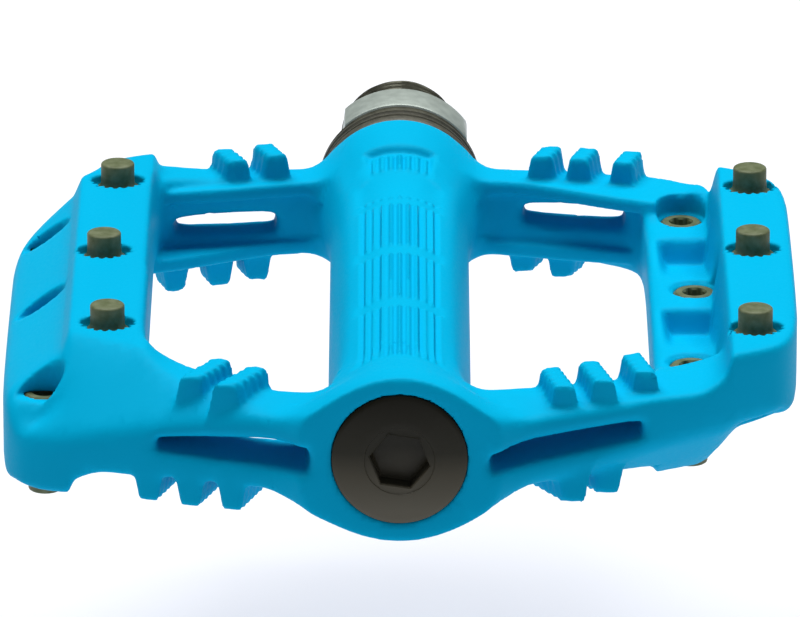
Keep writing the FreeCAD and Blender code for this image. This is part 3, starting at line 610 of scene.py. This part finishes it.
def spread(tree, value, low, high):
    """A value moved from its middle range to the range low to high."""
    node = tree.nodes.new("ShaderNodeMapRange")
    node.inputs["From Min"].default_value = 0.3
    node.inputs["From Max"].default_value = 0.7
    node.inputs["To Min"].default_value = low
    node.inputs["To Max"].default_value = high
    tree.links.new(value, node.inputs["Value"])
    return node.outputs["Result"]


def tones(tree, value, stops):
    """Colours picked along a value."""
    node = tree.nodes.new("ShaderNodeValToRGB")
    node.color_ramp.elements[0].position = stops[0][0]
    node.color_ramp.elements[0].color = (*stops[0][1], 1)
    node.color_ramp.elements[1].position = stops[-1][0]
    node.color_ramp.elements[1].color = (*stops[-1][1], 1)
    for position, colour in stops[1:-1]:
        node.color_ramp.elements.new(position).color = (*colour, 1)
    tree.links.new(value, node.inputs["Fac"])
    return node.outputs["Color"]


def bump(tree, shader, value, strength, depth):
    """Fine relief from a value."""
    node = tree.nodes.new("ShaderNodeBump")
    node.inputs["Strength"].default_value = strength
    node.inputs["Distance"].default_value = depth
    tree.links.new(value, node.inputs["Height"])
    tree.links.new(node.outputs["Normal"], shader.inputs["Normal"])


def moulded_nylon():
    """Blue glass-filled nylon: even colour with faint flow marks and a fine satin grain."""
    made, tree, shader = material("moulded_nylon", 0.5, specular=0.02)
    flow = noise(tree, 42.0, 3.0, (1, 0.35, 1))
    colour = tones(tree, flow, [
        (0.25, (0.000, 0.330, 0.57)), (0.5, (0.000, 0.350, 0.60)), (0.75, (0.000, 0.370, 0.63)),
    ])
    tree.links.new(colour, shader.inputs["Base Color"])
    grain = noise(tree, 2600.0, 2.0)
    tree.links.new(spread(tree, grain, 0.44, 0.58), shader.inputs["Roughness"])
    bump(tree, shader, grain, 0.25, 0.00003)
    return made


def mottled(name, low, high, rough, metallic, scale, stretch=(1, 1, 1), specular=0.5):
    """Finish with a mottled colour, varying gloss and fine tool marks."""
    made, tree, shader = material(name, rough, metallic, specular)
    mottle = noise(tree, scale, 5.0)
    tree.links.new(tones(tree, mottle, [(0.3, low), (0.7, high)]), shader.inputs["Base Color"])
    marks = noise(tree, scale * 3, 3.0, stretch)
    tree.links.new(spread(tree, marks, rough * 0.85, rough * 1.2), shader.inputs["Roughness"])
    bump(tree, shader, marks, 0.2, 0.00002)
    return made


NYLON = moulded_nylon()
PIN_STEEL = mottled(
    "pin_steel", (0.070, 0.088, 0.036), (0.130, 0.150, 0.085), 0.5, 0.0, 900, (1, 1, 5), 0.25
)


def cap_finish_and_painted_reflection():
    """Anodised cap: near black above and paler towards the bottom, where a painted reflection of
    the pale floor stands in for a real one.
    """
    made, tree, shader = material("cap_metal", 0.34, 0.0, 0.2)
    place = tree.nodes.new("ShaderNodeTexCoord")
    split = tree.nodes.new("ShaderNodeSeparateXYZ")
    height = tree.nodes.new("ShaderNodeMapRange")
    height.inputs["From Min"].default_value = -0.0078
    height.inputs["From Max"].default_value = 0.0078
    tree.links.new(place.outputs["Object"], split.inputs["Vector"])
    tree.links.new(split.outputs["Z"], height.inputs["Value"])
    # painted reflection: the colour runs from near black at the top to paler at the bottom,
    # standing in for the floor seen in the cap
    colour = tones(tree, height.outputs["Result"], [
        (0.10, (0.088, 0.080, 0.058)), (0.38, (0.050, 0.044, 0.028)),
        (0.56, (0.012, 0.011, 0.004)), (0.95, (0.006, 0.005, 0.001)),
    ])
    tree.links.new(colour, shader.inputs["Base Color"])
    marks = noise(tree, 1500, 3.0)
    tree.links.new(spread(tree, marks, 0.30, 0.40), shader.inputs["Roughness"])
    bump(tree, shader, marks, 0.15, 0.00002)
    return made


CAP_METAL = cap_finish_and_painted_reflection()
SPINDLE_STEEL = mottled(
    "spindle_steel", (0.27, 0.31, 0.29), (0.36, 0.41, 0.385), 0.4, 0.3, 700, (1, 8, 1)
)
THREAD_STEEL = mottled(
    "thread_steel", (0.035, 0.036, 0.024), (0.075, 0.075, 0.055), 0.45, 0.6, 800, (1, 6, 1)
)
BEARING_STEEL = mottled(
    "bearing_steel", (0.50, 0.51, 0.52), (0.62, 0.63, 0.64), 0.22, 1.0, 900, (1, 6, 1)
)
SHIELD_STEEL = mottled(
    "shield_steel", (0.40, 0.41, 0.42), (0.50, 0.51, 0.52), 0.34, 1.0, 900
)
CAGE_BRASS = mottled(
    "cage_brass", (0.55, 0.38, 0.14), (0.70, 0.50, 0.20), 0.32, 1.0, 900
)
SEAL_RUBBER = mottled(
    "seal_rubber", (0.030, 0.030, 0.020), (0.062, 0.060, 0.042), 0.52, 0.0, 1200, (1, 6, 1)
)
BUSHING_POLYMER = mottled(
    "bushing_polymer", (0.02, 0.02, 0.02), (0.05, 0.05, 0.05), 0.5, 0.0, 1200
)
INSERT_NYLON = mottled(
    "insert_nylon", (0.05, 0.10, 0.30), (0.08, 0.15, 0.38), 0.45, 0.0, 1200
)

# ---------------------------------------------------------------- pieces

platform_mesh = mesh_from_field(
    "platform_shell", platform_field(UPPER_LUGS, 1), platform_field(LOWER_LUGS, -1)
)
finished("platform_shell", platform_mesh, "platform", ["platform_body"], NYLON, 60)


THREAD_TURNS, THREAD_PITCH = 12, 0.7


def pin_mesh(name):
    """Grub screw: plain tip, flared root, threaded body and a hex socket at the foot."""
    rings = [
        (1.05, 2.2, "hex"), (1.25, 2.1, "hex"), (1.25, 0.25, "hex"), (1.45, 0.0), (2.2, 0.0),
        (2.5, 0.3),
    ]
    for number in range(THREAD_TURNS):
        start = 0.45 + number * THREAD_PITCH
        rings += [(2.5, start), (2.32, start + 0.25), (2.32, start + 0.33), (2.5, start + 0.6)]
    rings += [
        (2.5, 8.86), (2.34, 8.95), (2.16, 9.12), (2.06, 9.32), (2.02, 9.6), (2.0, 10.2),
        (2.0, 11.72), (1.93, 11.86), (1.8, 11.95), (1.6, 11.99), (0.6, 11.99),
    ]
    return turned(name, rings, PIN_SIDES)


for pin_name, up, across, along, deck in pin_places():
    low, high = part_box(pin_name)
    mesh = pin_mesh(pin_name + "_screw")
    foot = low.z if up > 0 else high.z
    centre = (low + high) / 2
    for vertex in mesh.vertices:
        x, y, z = vertex.co
        vertex.co = (centre.x + x * up, centre.y - z, foot + y * up)
    finished(pin_name + "_screw", mesh, "platform", [pin_name], PIN_STEEL, 30)


def end_cap():
    """Domed cap with a bevelled rim, a round dish and a hex socket."""
    low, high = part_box("end_cap")
    face, back = 1000 * low.y, 1000 * high.y
    rings = [(5.9, back - 0.2), (6.0, back), (6.8, back), (7.0, back - 0.25)]
    rings += [(7.0, face + 2.4), (6.9, face + 2.0), (7.7, face + 2.0), (7.75, face + 1.92)]
    rings += [(7.75, face + 1.0), (7.72, face + 0.86), (7.64, face + 0.8)]
    rings += [
        (radius, face + 0.78 * (radius / 7.64) ** 2) for radius in (7.2, 6.6, 6, 5.4, 4.8, 4.2)
    ]
    rings += [(4.05, face + 0.24), (3.98, face + 0.34), (3.8, face + 0.36)]
    turn = -9
    rings += [(3.14, face + 0.3, "hex", turn), (3.0, face + 0.42, "hex", turn)]
    rings += [(3.0, face + 2.6, "hex", turn), (2.8, face + 2.8, "hex", turn)]
    return turned("end_cap_disc", rings)


finished("end_cap_disc", end_cap(), "platform", ["end_cap"], CAP_METAL, 25)


def seal():
    """Rubber seal: a wide band, two grooves and a thin lip towards the crank."""
    low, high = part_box("hub_seal")
    start, end = 1000 * high.y, 1000 * low.y
    outer = 9.95
    rings = [(6.53, start), (9.3, start), (9.62, start - 0.08), (outer, start - 0.35)]
    rings += [(outer, start - 0.75), (9.6, start - 0.95), (9.5, start - 1.2), (9.6, start - 1.4)]
    rings += [(outer - 0.08, start - 1.6), (outer - 0.05, start - 2.0)]
    rings += [(9.66, start - 2.15), (9.66, start - 2.4), (outer - 0.05, start - 2.55)]
    rings += [(outer, start - 3.9), (9.8, start - 4.1), (8.26, start - 4.1), (8.26, end)]
    rings += [(7.1, end), (7.1, start - 3.1), (6.53, start - 2.6)]
    return open_ends(turned("hub_seal_ring", rings))


def open_ends(mesh, sides=RING_SIDES):
    """Join a turned piece's first and last ring, so that it is a ring with a hole."""
    rings = len(mesh.vertices) // sides
    points = [tuple(vertex.co) for vertex in mesh.vertices]
    faces = []
    for number in range(rings):
        for side in range(sides):
            a = number * sides + side
            b = number * sides + (side + 1) % sides
            c = (number + 1) % rings * sides + (side + 1) % sides
            d = (number + 1) % rings * sides + side
            faces.append((a, b, c, d))
    joined = bpy.data.meshes.new(mesh.name)
    joined.from_pydata(points, [], faces)
    joined.update()
    bpy.data.meshes.remove(mesh)
    return joined


finished("hub_seal_ring", seal(), "platform", ["hub_seal"], SEAL_RUBBER, 40)


def dust_washer():
    """Thin lipped washer that turns with the spindle."""
    low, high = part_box("dust_washer")
    start, end = 1000 * high.y, 1000 * low.y
    middle = (start + end) / 2
    rings = [(6.55, start), (9.3, start), (9.7, start - 0.1), (9.86, middle), (9.7, end + 0.12)]
    rings += [(9.45, end), (6.55, end)]
    return open_ends(turned("dust_washer_ring", rings))


finished(
    "dust_washer_ring", dust_washer(), "spindle", ["dust_washer"], THREAD_STEEL,
    40,
)


def spindle_mesh():
    """Spindle with a helical crank thread, wrench flats and stepped journals."""
    end = 1000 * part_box("spindle")[1].y
    outer, pitch, depth = 7.2, 1.27, 0.62
    sides, rings = RING_SIDES, []
    step = pitch / 10
    count = int((end - 0.1) / step)
    for number in range(count, -1, -1):
        rings.append(("thread", number * step + 0.1))
    rings += [("flats", 0.02, (9.3, 7.15)), ("flats", -0.35, (9.75, 7.5))]
    rings += [("flats", -0.6, (9.98, 7.5)), ("flats", -6.0, (9.98, 7.5))]
    rings += [("flats", -6.3, (9.85, 7.5)), ("flats", -6.48, (9.55, 7.35))]
    rings += [("round", -6.5, 6.5), ("round", -12.4, 6.5), ("round", -13.0, 5.0)]
    rings += [("round", -32.0, 5.0), ("round", -42.0, 4.0), ("round", -86.95, 4.0)]
    rings += [("round", -87.0, 3.0), ("round", -97.8, 3.0), ("round", -98.35, 2.5)]
    points, faces = [], []
    for ring in rings:
        kind, station = ring[0], ring[1]
        for side in range(sides):
            angle = 2 * math.pi * side / sides
            if kind == "thread":
                share = station / pitch - side / sides
                wave = abs(share - math.floor(share + 0.5)) * 2
                crest = min(1.0, max(0.0, wave * 1.35 - 0.12))
                fade = min(1.0, station / 0.9)
                taper = max(0.0, station - (end - 0.5))
                reach = outer - depth * crest * fade - taper * 0.8
            elif kind == "flats":
                reach = ring_radius("flats", ring[2], -7, angle)
            else:
                reach = ring[2]
            points.append((reach * math.cos(angle), station, reach * math.sin(angle)))
    for number in range(len(rings) - 1):
        for side in range(sides):
            a = number * sides + side
            b = number * sides + (side + 1) % sides
            faces.append((a + sides, b + sides, b, a))
    faces.append(tuple(range(sides)))
    faces.append(tuple(reversed(range((len(rings) - 1) * sides, len(rings) * sides))))
    mesh = bpy.data.meshes.new("spindle_axle")
    mesh.from_pydata([tuple(MM * value for value in point) for point in points], [], faces)
    mesh.update()
    return mesh, (count + 1) * sides


axle, thread_faces = spindle_mesh()
finished("spindle_axle", axle, "spindle", ["spindle"], SPINDLE_STEEL, 32)
axle.materials.append(THREAD_STEEL)
for polygon in axle.polygons:
    if polygon.index < thread_faces or polygon.center.y > 0.0001:
        polygon.material_index = 1

CARRIED = {
    "hub_bushing": BUSHING_POLYMER, "bearing_outer_race": BEARING_STEEL,
    "bearing_inner_race": BEARING_STEEL, "bearing_shield_inboard": SHIELD_STEEL,
    "bearing_shield_outboard": SHIELD_STEEL, "bearing_cage": CAGE_BRASS,
    "spindle_washer": SPINDLE_STEEL, "spindle_locknut": SPINDLE_STEEL,
    "locknut_insert": INSERT_NYLON, "end_cap_oring": SEAL_RUBBER,
}
for number in range(1, 9):
    CARRIED["bearing_ball_%d" % number] = BEARING_STEEL
for node, finish in CARRIED.items():
    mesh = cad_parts[node].data
    mesh.materials.clear()
    mesh.materials.append(finish)

# ---------------------------------------------------------------- floor, light and camera

# low enough for the platform to stand on edge above it
FLOOR_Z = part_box("platform_body")[0].x - 0.0015
FLOOR_HALF = 4.0


def floor_material():
    """Pale paper that glows a little, so that it stays near white under the pedal."""
    made, tree, shader = material("floor_paper", 0.9, specular=0.1)
    grain = noise(tree, 14.0, 2.0)
    colour = tones(tree, grain, [(0.3, (0.36, 0.36, 0.36)), (0.7, (0.38, 0.38, 0.38))])
    tree.links.new(colour, shader.inputs["Base Color"])
    shader.inputs["Emission Color"].default_value = (0.86, 0.88, 1.0, 1)
    shader.inputs["Emission Strength"].default_value = 0.6
    return made


floor_mesh = bpy.data.meshes.new("floor")
floor_mesh.from_pydata(
    [(x * FLOOR_HALF, y * FLOOR_HALF, FLOOR_Z) for x, y in ((-1, -1), (1, -1), (1, 1), (-1, 1))],
    [], [(0, 1, 2, 3)],
)
floor_mesh.materials.append(floor_material())
floor = bpy.data.objects.new("floor", floor_mesh)
bpy.context.scene.collection.objects.link(floor)

MIDDLE = Vector((0, CENTRE * MM, 0))


def soft_light(name, place, size, power, colour):
    """Rectangular softbox aimed at the pedal."""
    lamp = bpy.data.lights.new(name, "AREA")
    lamp.shape = "RECTANGLE"
    lamp.size, lamp.size_y = size
    lamp.energy = power
    lamp.color = colour
    piece = bpy.data.objects.new(name, lamp)
    piece.location = MIDDLE + Vector(place)
    piece.rotation_euler = (-Vector(place)).to_track_quat("-Z", "Y").to_euler()
    bpy.context.scene.collection.objects.link(piece)


soft_light("key", (-0.05, 0.4, 1.9), (2.6, 1.3), 78.0, (1.0, 1.0, 0.96))
soft_light("front", (0.1, -1.0, 0.35), (0.8, 0.5), 0.45, (0.75, 0.86, 1.0))

world = bpy.data.worlds.new("studio")
world.use_nodes = True
background = world.node_tree.nodes["Background"]
background.inputs["Color"].default_value = (0.92, 0.96, 1.0, 1)
background.inputs["Strength"].default_value = 0.10
bpy.context.scene.world = world
bpy.context.scene.view_settings.view_transform = "Standard"

ELEVATION = math.radians(20)
DISTANCE = 1.3
camera_data = bpy.data.cameras.new("camera")
camera_data.sensor_width = 36
camera_data.lens = 497.25
camera_data.clip_start = 0.05
camera_data.clip_end = 30
camera = bpy.data.objects.new("camera", camera_data)
AIM = Vector((0.00005, -0.057, 0))
camera.location = AIM + DISTANCE * Vector((0, -math.cos(ELEVATION), math.sin(ELEVATION)))
# the camera looks a little above the pedal, which sets it lower in the picture
LOOK_AT = AIM + Vector((0, 0, 0.00187))
camera.rotation_euler = (LOOK_AT - camera.location).to_track_quat("-Z", "Y").to_euler()
bpy.context.scene.collection.objects.link(camera)
bpy.context.scene.camera = camera

bpy.context.view_layer.update()
